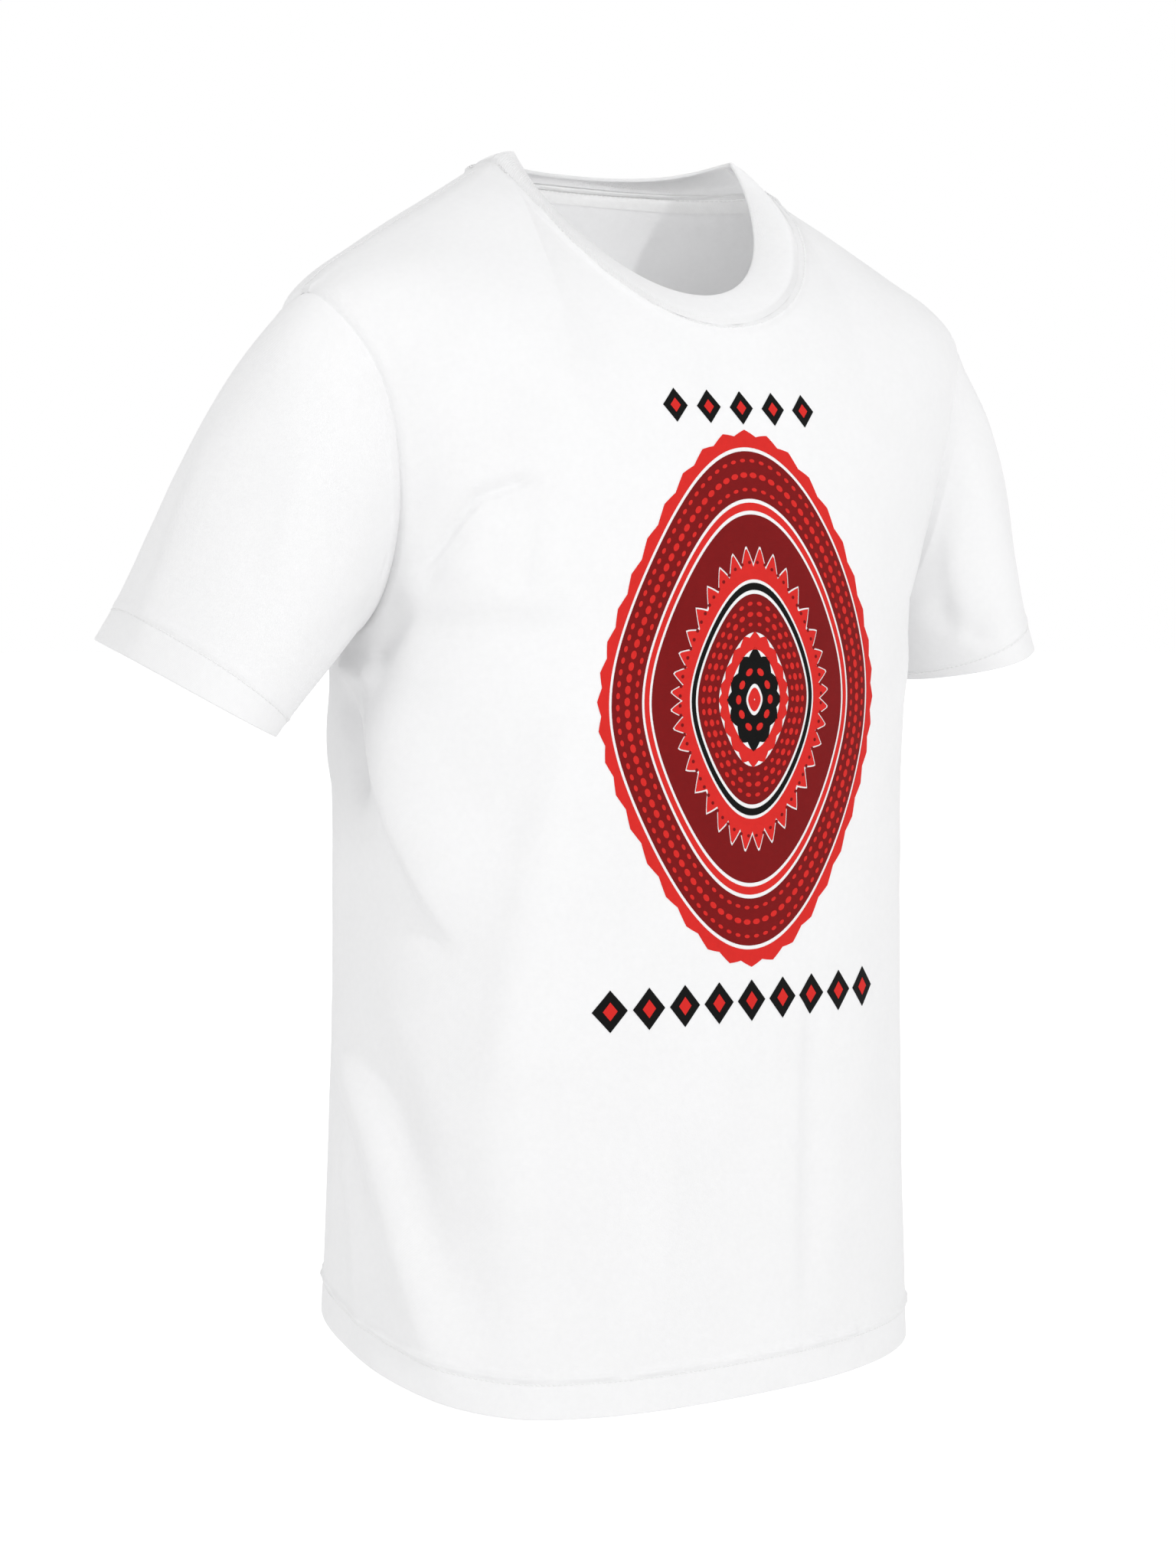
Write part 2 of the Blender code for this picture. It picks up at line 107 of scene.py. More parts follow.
# Each fold: its path as (turn, height), its rise, and its width on either side. Where the
# path runs down, the first width is towards smaller turns. Where it runs level, to greater
# turns, the first width is below it.
folds = {
    "reach": 0.17,
    "broad": [
        ([(-85, 0.450), (-83, 0.402), (-81, 0.372), (-77.5, 0.345), (-73, 0.322), (-67, 0.292),
          (-60, 0.262)], 0.0100, 0.007, 0.034),
        ([(-97, 0.432), (-91, 0.402), (-87, 0.350)], -0.0100, 0.010, 0.006),
        ([(-102, 0.250), (-95, 0.202), (-84, 0.162), (-77, 0.114), (-71, 0.066), (-63, -0.010)],
         0.0080, 0.012, 0.015),
        ([(-92, 0.250), (-79, 0.190), (-70, 0.115), (-63, 0.030)], -0.0050, 0.016, 0.018),
        ([(-34, 0.480), (-41, 0.395), (-47, 0.320), (-53, 0.240), (-57, 0.150), (-59, 0.040)],
         0.0115, 0.034, 0.055),
        ([(-46, 0.430), (-54, 0.350), (-59, 0.280), (-64, 0.150)], -0.0034, 0.030, 0.014),
        ([(-78, 0.480), (-46, 0.478), (-36, 0.474)], 0.0026, 0.014, 0.026),
        ([(-80, 0.456), (-56, 0.460), (-42, 0.458)], -0.0030, 0.018, 0.014),
        ([(-74, 0.480), (-78, 0.458), (-84, 0.438)], -0.0040, 0.008, 0.006),
        ([(-98, 0.438), (-80, 0.430)], 0.0060, 0.008, 0.008),
        ([(-76, 0.488), (-70.5, 0.500), (-66.5, 0.519), (-63, 0.535), (-57, 0.543), (-50, 0.540)],
         -0.0046, 0.0034, 0.0034),
        ([(-72, 0.478), (-68, 0.500), (-63, 0.520)], -0.0022, 0.004, 0.012),
        ([(-66, 0.480), (-61, 0.505), (-57, 0.528)], 0.0030, 0.010, 0.012),
        ([(-54.5, 0.552), (-54, 0.515), (-54, 0.470)], -0.0028, 0.010, 0.006),
    ],
    "fine": [
        ([(-47.6, 0.235), (-47.5, 0.035)], -0.0026, 0.008, 0.014),
        ([(21, 0.270), (17.5, 0.020)], -0.0024, 0.006, 0.014),
        ([(-63, 0.180), (-59, 0.020)], -0.0030, 0.014, 0.016),
        ([(-95, 0.180), (-88, 0.100), (-84, 0.020)], 0.0030, 0.008, 0.008),
        ([(-58, 0.605), (-70, 0.515)], 0.0016, 0.008, 0.010),
        ([(78, 0.505), (56, 0.455)], -0.0020, 0.008, 0.010),
        ([(74, 0.460), (50, 0.400)], 0.0018, 0.010, 0.012),
        ([(84, 0.410), (66, 0.290)], 0.0024, 0.016, 0.010),
        ([(30, 0.180), (27, 0.020)], 0.0012, 0.014, 0.012),
        ([(-21, 0.210), (-26, 0.010)], 0.0014, 0.016, 0.012),
        ([(102, 0.500), (118, 0.440), (142, 0.350)], 0.0060, 0.010, 0.020),
        ([(104, 0.440), (116, 0.370), (124, 0.260)], 0.0050, 0.014, 0.016),
        ([(-102, 0.500), (-118, 0.440), (-142, 0.350)], 0.0060, 0.020, 0.010),
        ([(-106, 0.430), (-120, 0.350), (-126, 0.240)], 0.0050, 0.016, 0.014),
        ([(146, 0.360), (154, 0.220), (160, 0.020)], 0.0056, 0.014, 0.026),
        ([(-140, 0.370), (-150, 0.230), (-157, 0.040)], 0.0062, 0.024, 0.014),
        ([(176, 0.660), (172, 0.560), (164, 0.430)], 0.0034, 0.016, 0.026),
        ([(-168, 0.640), (-160, 0.520)], 0.0030, 0.024, 0.014),
        ([(174, 0.300), (178, 0.020)], -0.0040, 0.020, 0.020),
        ([(98, 0.260), (108, 0.120), (116, -0.010)], 0.0070, 0.012, 0.024),
        ([(128, 0.200), (134, 0.000)], 0.0046, 0.012, 0.018),
    ],
}


def wrapped(turn):
    return (turn + math.pi) % (2 * math.pi) - math.pi


endFade = 0.3  # share of a path that it takes a crease to rise, at either end


def creaseHeight(turn, up, creases, reach):
    # How far these creases lift the cloth; reach turns an angle into metres of cloth
    total = np.zeros(np.broadcast(turn, up).shape)
    for path, rise, firstWidth, otherWidth in creases:
        middle = path[len(path) // 2][0]
        across = wrapped(turn - math.radians(middle)) * reach
        corners = np.array([(math.radians(angle - middle) * reach, height)
                            for angle, height in path])
        nearest, reached = np.full(total.shape, np.inf), 0
        isOther, place = np.zeros(total.shape, bool), np.zeros(total.shape)
        for start, run in zip(corners[:-1], np.diff(corners, axis=0)):
            length = np.hypot(*run)
            dx, dz = across - start[0], up - start[1]
            share = np.clip((dx * run[0] + dz * run[1]) / length ** 2, 0, 1)
            distance = np.hypot(dx - share * run[0], dz - share * run[1])
            closer = distance < nearest
            nearest = np.where(closer, distance, nearest)
            isOther = np.where(closer, run[0] * dz - run[1] * dx > 0, isOther)
            place = np.where(closer, reached + share * length, place)
            reached += length
        ends = np.minimum(place, reached - place) / (endFade * reached)
        width = np.where(isOther, otherWidth, firstWidth)
        total += rise * bell(nearest, 0, width) * smoothStep(ends)
    return total


def bodySurface(turn, height):
    halfWidth = profile(height, "halfWidth")
    sine, cosine = np.sin(turn), np.cos(turn)
    depth = np.where(cosine > 0, profile(height, "front"), profile(height, "back"))
    n = body["squareness"]
    reach = ((np.abs(sine) / halfWidth) ** n + (np.abs(cosine) / depth) ** n) ** (-1 / n)
    reach = reach + creaseHeight(turn, height, folds["broad"], folds["reach"])
    return np.stack([reach * sine, profile(height, "sideY") - reach * cosine, height], axis=-1)


def normalsOf(surface, u, v, stepU=1e-3, stepV=1e-4):
    alongU = surface(u + stepU, v) - surface(u - stepU, v)
    alongV = surface(u, v + stepV) - surface(u, v - stepV)
    return unit(np.cross(alongU, alongV))


def torsoNormals(turn, height):
    return normalsOf(bodySurface, turn, height)


def turnFromSide(y, height, side):
    forward = profile(height, "sideY") - y
    depth = np.where(forward > 0, profile(height, "front"), profile(height, "back"))
    n = body["squareness"]
    share = np.clip(np.abs(forward) / depth, 0, 1) ** n
    return side * np.arctan2(profile(height, "halfWidth") * (1 - share) ** (1 / n), forward)


def turnFromX(x, height, back):
    n = body["squareness"]
    share = np.clip(np.abs(x) / profile(height, "halfWidth"), 0, 1) ** n
    return np.arctan2(x, profile(height, "back" if back else "front") * (1 - share) ** (1 / n))


def armhole(around, side):
    middle = (body["shoulderTip"] + body["underarm"]) / 2
    half = (body["shoulderTip"] - body["underarm"]) / 2
    height = middle + half * np.cos(around)
    scoop = np.where(np.sin(around) > 0, body["frontScoop"], body["backScoop"])
    return turnFromSide(profile(height, "sideY") - scoop * np.sin(around), height, side), height


def neckline(around):
    x = body["neckHalfWidth"] * np.sin(around)
    frontHeight = body["length"] - body["frontNeckDrop"] * np.abs(np.cos(around))
    backHeight = body["length"] - body["backNeckDrop"] * np.abs(np.cos(around))
    front = np.cos(around) > 0
    frontTurn = turnFromX(x, frontHeight, False)
    backTurn = math.pi - turnFromX(x, backHeight, True)
    return np.where(front, frontTurn, backTurn), np.where(front, frontHeight, backHeight)


hem = {
    "width": 0.030,
    "foldWidth": 0.0225,
    "foldRadius": 0.0009,
    "hitch": 0.038,  # how far it rides up behind the right side
    "hitchTurn": math.radians(-112),
    "hitchReach": math.radians(65),
    "hitchFade": 0.28,
    "row": 0.0208,
    "roll": 0.0015,
    "groove": 0.0003,
    "columns": 900,
    "rows": 24,
}


def hemHeight(turn):
    share = np.clip(np.abs(wrapped(turn - hem["hitchTurn"])) / hem["hitchReach"], 0, 1)
    return hem["hitch"] * np.cos(share * rightAngle) ** 2


cloth = {
    "thickness": 0.0009,
    "underarmT": 0.62,
    "turnPull": 2.5,
    "heightPull": 6,
    "crossOver": 1.4,  # how soon above the underarm the columns stand upright
    "neckShare": {"front": 8 / 14, "back": 6 / 12},
    "fineEdge": 0.06,  # share of a half panel with close columns
    "fineEnds": (0.03, 0.965),
    "columns": (38, 40, 17),  # under the neck, under the shoulder, beside the armhole
    "rows": (20, 92, 80, 20),  # by the hem, up to the underarm, up to the shoulder, by its seam
    # unevenness of the drape: rise, scale of the noise and its seed
    "drape": [(0.0022, (7, 7, 2.4), 3.0), (0.0008, (17, 17, 8), 11.0), (0.0002, 46, 5.0)],
}


def panelTop(s, back):
    share = cloth["neckShare"]["back" if back else "front"]
    down = np.clip((np.abs(s) - share) / (1 - share), 0, 1)
    height = body["length"] + down * (body["shoulderTip"] - body["length"])
    around = np.clip(s / share, -1, 1) * rightAngle
    neckHeight = neckline(math.pi - around if back else around)[1]
    inNeck = np.abs(s) < share
    neckX = body["neckHalfWidth"] * np.sin(around)
    x = np.where(inNeck, neckX, np.sign(s) * profile(height, "halfWidth"))
    return x, np.where(inNeck, neckHeight, height)


def halfWidthAt(turn, height, back):
    n = body["squareness"]
    depth = profile(height, "back" if back else "front")
    sine, cosine = np.abs(np.sin(turn)), np.abs(np.cos(turn))
    scaled = (sine / profile(height, "halfWidth")) ** n + (cosine / depth) ** n
    return sine * scaled ** (-1 / n)


def panelPlace(s, t, back):
    # (turn, height) on a panel, s from -1 to 1 across it and t from 0 to 1 up it
    low = np.clip(t / cloth["underarmT"], 0, 1)
    v = np.clip((t - cloth["underarmT"]) / (1 - cloth["underarmT"]), 0, 1)
    topX, topHeight = panelTop(s, back)
    around = math.pi * (1 - v)
    edgeTurn, edgeHeight = armhole(-around if back else around, 1)
    edgeTurn = math.pi - edgeTurn if back else edgeTurn
    edgeX = halfWidthAt(edgeTurn, edgeHeight, back)
    hemTop, underarm, tip = hem["width"], body["underarm"], body["shoulderTip"]
    lowX = halfWidthAt(np.abs(s) * rightAngle, underarm, back) * np.sign(s)
    height = hemTop + low * (underarm - hemTop) + v * (topHeight - underarm)
    straightHeight = underarm + v * (tip - underarm)
    height = height + np.abs(s) ** cloth["heightPull"] * (edgeHeight - straightHeight) * (v > 0)
    pull = np.sign(s) * np.abs(s) ** cloth["turnPull"]
    evenTurn = s * rightAngle + pull * (edgeTurn - rightAngle)
    straightX = profile(underarm, "halfWidth") * (1 - v) + profile(tip, "halfWidth") * v
    x = lowX * (1 - v) + topX * v + pull * (edgeX - straightX)
    share = smoothStep(v * cloth["crossOver"])
    turn = evenTurn * (1 - share) + turnFromX(x, height, back) * share
    turn = math.pi - turn if back else turn
    height = height + hemHeight(turn) * (1 - smoothStep((height - hemTop) / hem["hitchFade"]))
    return turn, height


sleeves = {
    "right": {"side": -1, "middle": (-0.2905, 0.020, 0.426), "lean": 26.5, "swing": 12},
    "left": {"side": 1, "middle": (0.264, 0.002, 0.440), "lean": 18, "swing": 2},
    "halfDepth": 0.087,
    "halfThickness": 0.049,
    "length": 0.20,
    "hemWidth": 0.022,
    "bow": 0.010,
    "normalBlend": 0.1,  # share of the length where the normals leave the torso's
    "reach": 0.075,
    "columns": 168,
    "rowBreaks": (0, 0.08, 0.80),
    "rows": (18, 48, 16),
    "hemRows": 22,
    "foldShare": 0.97,
    "row": 0.0195,
    "roll": 0.0005,
    "groove": 0.0003,
    "drape": [(0.0018, (14, 14, 6), 21.0), (0.0005, 34, 23.0)],
    # paths as (turn round the arm, metres down from the shoulder)
    "creases": {
        "right": [
            ([(-4, 0.060), (2, 0.109), (13, 0.200)], 0.0036, 0.030, 0.011),
            ([(48, 0.045), (56, 0.090), (68, 0.140)], 0.0018, 0.020, 0.012),
            ([(116, 0.004), (124, 0.026)], -0.0016, 0.005, 0.005),
            ([(140, 0.020), (108, 0.120)], -0.0020, 0.010, 0.014),
            ([(-150, 0.030), (-112, 0.150)], 0.0040, 0.010, 0.016),
            ([(-96, 0.020), (-70, 0.120)], -0.0030, 0.010, 0.014),
        ],
        "left": [
            ([(102, 0.020), (112, 0.090), (124, 0.160)], 0.0030, 0.010, 0.016),
            ([(128, 0.050), (120, 0.120), (104, 0.180)], -0.0026, 0.010, 0.012),
            ([(40, 0.010), (30, 0.150)], 0.0016, 0.012, 0.018),
            ([(-140, 0.030), (-104, 0.150)], 0.0042, 0.010, 0.016),
            ([(-84, 0.020), (-60, 0.120)], -0.0030, 0.010, 0.014),
        ],
    },
}


def sleeveFrame(sleeve):
    lean, swing = math.radians(sleeve["lean"]), math.radians(sleeve["swing"])
    down = -math.cos(lean)
    out = sleeve["side"] * math.sin(lean)
    arm = np.array([out, -down * math.sin(swing), down * math.cos(swing)])
    back = np.array([0, math.cos(swing), math.sin(swing)])
    return np.cross(arm, back) * sleeve["side"], back


def sleeveSurface(sleeve, around, along):
    out, back = sleeveFrame(sleeve)
    cosine, sine = np.cos(around)[..., None], np.sin(around)[..., None]
    start = bodySurface(*armhole(around, sleeve["side"]))
    cuff = sleeves["halfThickness"] * cosine * out - sleeves["halfDepth"] * sine * back
    u = along[..., None]
    # u * (1 - u) ** 2 is at most 4 / 27
    bow = sleeves["bow"] * (1 + cosine) / 2 * u * (1 - u) ** 2 * 27 / 4
    outward = unit(cosine * out - sine * back)
    return start * (1 - u) + (np.array(sleeve["middle"]) + cuff) * u + bow * outward


def sleeveNormals(sleeve, around, along):
    side = sleeve["side"]
    # The surface has no slope of its own right at the armhole
    inside = np.clip(along, 0.02, 1)
    own = side * normalsOf(lambda a, b: sleeveSurface(sleeve, a, b), around, inside)
    torso = torsoNormals(*armhole(around, side))
    share = (1 - smoothStep(along / sleeves["normalBlend"]))[..., None]
    return unit(own * (1 - share) + torso * share)


collar = {
    "halfWidth": 0.081,
    "side": (-0.008, body["length"] + 0.010),
    "peaks": {"right": -0.003, "left": 0.0055},
    "peakSharpness": 6,
    "front": (-0.086, body["length"] - 0.081),
    "back": (0.060, body["length"] + 0.0085),
    "crown": 0.0022,
    "foldRadius": 0.0009,
    "foldShare": 0.05,
    "ribs": 540,
    "ribHeight": 0.00040,
    "ribShape": (1, 0.45, 0, 0.45),  # height at the four columns of a rib
    "ribFade": (6, 0.2),  # how fast the ribs rise from the seam, and how much is there at it
    "bandWidth": 0.022,
    "seamDip": (-0.0010, 0, 0.0016),
    "normalBlend": 0.4,
    "rows": 9,
}


def collarEdge(around):
    front = np.clip(np.cos(around), 0, 1)
    rear = np.clip(-np.cos(around), 0, 1)
    side = np.array(collar["side"])
    yz = side + front[..., None] * (collar["front"] - side)
    yz = yz + rear[..., None] * (collar["back"] - side)
    sine = np.sin(around)
    peak = np.where(sine < 0, collar["peaks"]["right"], collar["peaks"]["left"])
    peak = peak * np.abs(sine) ** collar["peakSharpness"]
    rise = np.stack([np.zeros_like(peak), peak], axis=-1)
    return np.concatenate([(collar["halfWidth"] * sine)[..., None], yz + rise], axis=-1)


def collarSurface(around, along):
    u = along[..., None]
    lift = np.array([0, 0, collar["crown"]]) * (4 * u * (1 - u))
    return bodySurface(*neckline(around)) * (1 - u) + collarEdge(around) * u + lift


def collarNormals(around, along):
    own = normalsOf(collarSurface, around, along)
    torso = torsoNormals(*neckline(around))
    share = (1 - smoothStep(along / collar["normalBlend"]))[..., None]
    return unit(own * (1 - share) + torso * share)


# Reliefs beside a seam: rise, distance from the seam and width
seams = {
    "armhole": [(-0.0005, 0, 0.0014), (0.0005, 0.0050, 0.0030)],
    "neck": [(-0.0014, 0, 0.0013), (0.0018, 0.0040, 0.0021)],
    "shoulder": [(-0.0006, 0, 0.0011), (0.0005, 0.0036, 0.0020)],
}
seamPucker = [(0.5, 140, 2.0)]
quietReach = 0.010  # wrinkles die away this near a seam


def noiseAt(points, scale, seed):
    places = (points * np.array(scale) + seed).reshape(-1, 3).tolist()
    return np.array([noise.noise(place) for place in places]).reshape(points.shape[:-1])


def treeOf(*curves):
    curve = np.concatenate(curves)
    tree = kdtree.KDTree(len(curve))
    for index, point in enumerate(curve.tolist()):
        tree.insert(point, index)
    tree.balance()
    return tree


def distances(points, tree):
    flat = [tree.find(point)[2] for point in points.reshape(-1, 3).tolist()]
    return np.array(flat).reshape(points.shape[:-1])


def unevenness(points, rows):
    return sum(rise * noiseAt(points, scale, seed) for rise, scale, seed in rows)


def relief(distance, rows):
    return sum(rise * bell(distance, place, width) for rise, place, width in rows)


allRound = np.linspace(0, 2 * math.pi, 1600)
downShoulder = np.linspace(body["shoulderTip"], body["length"], 500)
seamTrees = {
    "neck": treeOf(bodySurface(*neckline(allRound))),
    "armhole": treeOf(*[bodySurface(*armhole(allRound, side)) for side in (-1, 1)]),
    "shoulder": treeOf(*[bodySurface(side * rightAngle + 0 * downShoulder, downShoulder)
                         for side in (-1, 1)]),
}

hemPucker = {
    "noise": [(1, (80, 80, 30), 7.0), (0.4, (170, 170, 50), 9.0)],
    # height above the stitches, width, and how far the pucker changes it
    "roll": (0.0036, 0.0022, 1.1),
    "groove": (0, 0.0010, 1.6),
    "band": (-0.009, 0.006),
    "bandRise": 0.0004,
}


def hemRelief(above, points, hemLine):
    # A soft roll above the hem's stitches, the groove that they pull, and puckers below it
    fromRow = above - hemLine["row"]
    pucker = unevenness(points, hemPucker["noise"])

    def puckered(place, width, change):
        return bell(fromRow, place, width) * (1 + change * pucker)

    roll = hemLine["roll"] * puckered(*hemPucker["roll"])
    groove = hemLine["groove"] * puckered(*hemPucker["groove"])
    return roll - groove + hemPucker["bandRise"] * pucker * bell(fromRow, *hemPucker["band"])


def torsoLift(turn, height):
    points = bodySurface(turn, height)
    lift = creaseHeight(turn, height, folds["fine"], folds["reach"])
    lift = lift + unevenness(points, cloth["drape"])
    pucker = 1 + unevenness(points, seamPucker)
    quiet, atSeams = 1, 0
    for name, tree in seamTrees.items():
        distance = distances(points, tree)
        atSeams = atSeams + relief(distance, seams[name]) * pucker
        quiet = quiet * (1 - bell(distance, 0, quietReach))
    return lift * quiet + atSeams + hemRelief(height - hemHeight(turn), points, hem)


def torsoPoints(turn, height, depth=0.0):
    # Points of the finished cloth, or of a layer this deep behind its face
    lift = torsoLift(turn, height) - depth
    return bodySurface(turn, height) + torsoNormals(turn, height) * lift[..., None]


def sleevePoints(side, around, along, depth=0.0):
    sleeve = sleeves[side]
    points = sleeveSurface(sleeve, around, along)
    fromShoulder = along * sleeves["length"]
    lift = creaseHeight(around, fromShoulder, sleeves["creases"][side], sleeves["reach"])
    lift = lift + unevenness(points, sleeves["drape"])
    distance = distances(points, seamTrees["armhole"])
    lift = lift * (1 - bell(distance, 0, quietReach))
    lift = lift + relief(distance, seams["armhole"]) * (1 + unevenness(points, seamPucker))
    lift = lift + hemRelief(sleeves["length"] * (1 - along), points, sleeves)
    return points + sleeveNormals(sleeve, around, along) * (lift - depth)[..., None]


# Meshes
joinReach = 1e-6
sharpAngle = math.radians(55)
roundFold = np.linspace(0, math.pi, 7)  # angles round a fold


def lengthsAlong(points, axis):
    steps = np.linalg.norm(np.diff(points, axis=axis), axis=-1)
    start = np.zeros_like(steps.take([0], axis=axis))
    return np.concatenate([start, np.cumsum(steps, axis=axis)], axis=axis)


def spaced(breaks, counts):
    # Even steps between the breaks, this many places to each stretch
    runs = [np.linspace(start, end, count)[:-1]
            for start, end, count in zip(breaks, breaks[1:], counts)]
    return np.concatenate(runs + [breaks[-1:]])


def sceneObject(name, data):
    made = bpy.data.objects.new(name, data)
    bpy.context.scene.collection.objects.link(made)
    return made


def clothGrid(name, points, material, closed=False, folded=False, thickness=0):
    # A grid laid through rows by columns of points; its UV map is in metres of cloth
    rows, columns = points.shape[0] - 1, points.shape[1] - 1
    mesh = bmesh.new()
    rowOf = mesh.verts.layers.int.new("row")
    columnOf = mesh.verts.layers.int.new("column")
    uvLayer = mesh.loops.layers.uv.new("cloth")
    bmesh.ops.create_grid(mesh, x_segments=columns, y_segments=rows, size=0.5)
    for vertex in mesh.verts:
        vertex[rowOf] = round((vertex.co.y + 0.5) * rows)
        vertex[columnOf] = round((vertex.co.x + 0.5) * columns)
    across, up = lengthsAlong(points, 1), lengthsAlong(points, 0)
    across = (across - across[:, [columns // 2]]).tolist()
    up = up.tolist()
    for face in mesh.faces:
        face.smooth = True
        for loop in face.loops:
            row, column = loop.vert[rowOf], loop.vert[columnOf]
            loop[uvLayer].uv = (across[row][column], up[row][column])
    placed = (points - body["middle"]).tolist()
    for vertex in mesh.verts:
        vertex.co = placed[vertex[rowOf]][vertex[columnOf]]
    if closed:
        bmesh.ops.remove_doubles(mesh, verts=mesh.verts, dist=joinReach)
    if folded:
        made = bmesh.ops.bridge_loops(mesh, edges=[edge for edge in mesh.edges if edge.is_boundary])
        for face in made["faces"]:
            face.smooth = True
    piece = pieceFrom(name, mesh, material, folded)
    if thickness:
        thicken(piece, thickness)
    return piece


def thicken(piece, thickness):
    solid = piece.modifiers.new("thickness", "SOLIDIFY")
    solid.thickness = thickness
    solid.offset = -1


def pieceFrom(name, mesh, material, creased=False):
    for edge in mesh.edges:
        edge.smooth = not edge.is_boundary
    data = bpy.data.meshes.new(name)
    mesh.to_mesh(data)
    mesh.free()
    if creased:
        data.set_sharp_from_angle(angle=sharpAngle)
    data.materials.append(material)
    piece = sceneObject(name, data)
    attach(piece, "root")
    return piece


def foldPath(width, foldWidth, radius, rows):
    # (distance from the edge, depth) down the inner layer, round the fold and up the outer one
    steps = np.arange(1, rows + 1) / rows
    inner = [(radius + (foldWidth - radius) * step, 2 * radius) for step in steps[::-3]]
    fold = [(radius * (1 - math.sin(turn)), radius * (1 + math.cos(turn))) for turn in roundFold]
    outer = [(radius + (width - radius) * step, 0) for step in steps]
    return np.array(inner + fold + outer)


def makePanel(name, material, back):
    neckShare = cloth["neckShare"]["back" if back else "front"]
    low, high = cloth["fineEnds"]
    half = spaced((0, neckShare, 1 - cloth["fineEdge"], 1), cloth["columns"])
    s = np.concatenate([-half[:0:-1], half]) * (-1 if back else 1)
    t = spaced((0, low, cloth["underarmT"], high, 1), cloth["rows"])
    turn, height = panelPlace(*np.meshgrid(s, t), back)
    return clothGrid(name, torsoPoints(turn, height), material, thickness=cloth["thickness"])


def makeBodyHem(material):
    path = foldPath(hem["width"], hem["foldWidth"], hem["foldRadius"], hem["rows"])
    turn, above = np.meshgrid(np.linspace(-math.pi, math.pi, hem["columns"] + 1), path[:, 0])
    depth = np.broadcast_to(path[:, 1][:, None], turn.shape)
    points = torsoPoints(turn, hemHeight(turn) + above, depth)
    return clothGrid("bodyHem", points, material, closed=True, folded=True)


def sleeveTurns(side):
    turns = np.linspace(0, 2 * math.pi, sleeves["columns"] + 1)
    return turns if side == "left" else turns[::-1]


def makeSleeve(side, material):
    hemStart = 1 - sleeves["hemWidth"] / sleeves["length"]
    along = spaced((*sleeves["rowBreaks"], hemStart), sleeves["rows"])
    # rows run up the sleeve, so that the faces point outwards
    around, along = np.meshgrid(sleeveTurns(side)[::-1], along[::-1])
    points = sleevePoints(side, around, along)
    return clothGrid(side + "Sleeve", points, material, closed=True, thickness=cloth["thickness"])


def makeSleeveHem(side, material):
    width = sleeves["hemWidth"]
    path = foldPath(width, width * sleeves["foldShare"], hem["foldRadius"], sleeves["hemRows"])
    around, fromEdge = np.meshgrid(sleeveTurns(side)[::-1], path[:, 0])
    depth = np.broadcast_to(path[:, 1][:, None], around.shape)
    points = sleevePoints(side, around, 1 - fromEdge / sleeves["length"], depth)
    return clothGrid(side + "SleeveHem", points, material, closed=True, folded=True)


def makeCollar(material):
    # A band of rib knit folded double: up its outer side, round its edge and down its inner side
    radius, share = collar["foldRadius"], collar["foldShare"]
    up = np.linspace(0, 1 - share, collar["rows"])
    outer = [(value, 0) for value in up]
    fold = [(1 - share * (1 - math.sin(turn)), radius * (1 - math.cos(turn)))
            for turn in roundFold[1:-1]]
    inner = [(value, 2 * radius) for value in up[::-1]]
    path = np.array(outer + fold + inner)
    shape = np.array(collar["ribShape"])
    columns = collar["ribs"] * len(shape)
    around, along = np.meshgrid(np.linspace(-math.pi, math.pi, columns + 1), path[:, 0])
    depth = path[:, 1][:, None]
    rib = shape[np.arange(columns + 1) % len(shape)] * collar["ribHeight"]
    seamDip = relief(along * collar["bandWidth"], [collar["seamDip"]])
    outwards = np.where(depth > radius, -1, 1) * np.abs(1 - depth / radius)
    gain, start = collar["ribFade"]
    lift = seamDip - depth + rib * outwards * smoothStep(along * gain + start)
    points = collarSurface(around, along) + collarNormals(around, along) * lift[..., None]
    return clothGrid("collarBand", points, material, closed=True, folded=True)


tape = {
    "width": 0.010,
    "below": 0.0008,
    "depth": 0.0011,
    "thickness": 0.0003,
    "ridge": 0.0017,
    "ridgeWidth": 0.0028,
    "reach": (1.03, 2.97),  # right angles round the neck
    "columns": 160,
    "rows": 41,
}


def makeTape(material):
    turn, height = neckline(np.linspace(*tape["reach"], tape["columns"]) * rightAngle)
    down = np.linspace(1, 0, tape["rows"])[:, None] * tape["width"]
    height = height - tape["below"] - down
    turn = np.broadcast_to(turn, height.shape)
    arch = np.clip(1 - (down / tape["ridgeWidth"] * 2 - 1) ** 2, 0, 1)
    points = torsoPoints(turn, height, tape["depth"] + tape["ridge"] * np.sqrt(arch))
    return clothGrid("neckTape", points, material, thickness=tape["thickness"])


thread = {
    "pitch": 0.0033,
    "length": 0.0027,
    "width": 0.00045,
    "height": 0.00030,
    "segments": 6,
    "rings": 4,
    "belowNeck": 0.0026,
    "besideNeck": 0.0022,
    "shoulderEnds": (0.003, 0.006),
    "behindShoulder": 0.030,  # radians of turn
    "belowTape": 0.0008,
    "tapeReach": (1.04, 2.96),
}


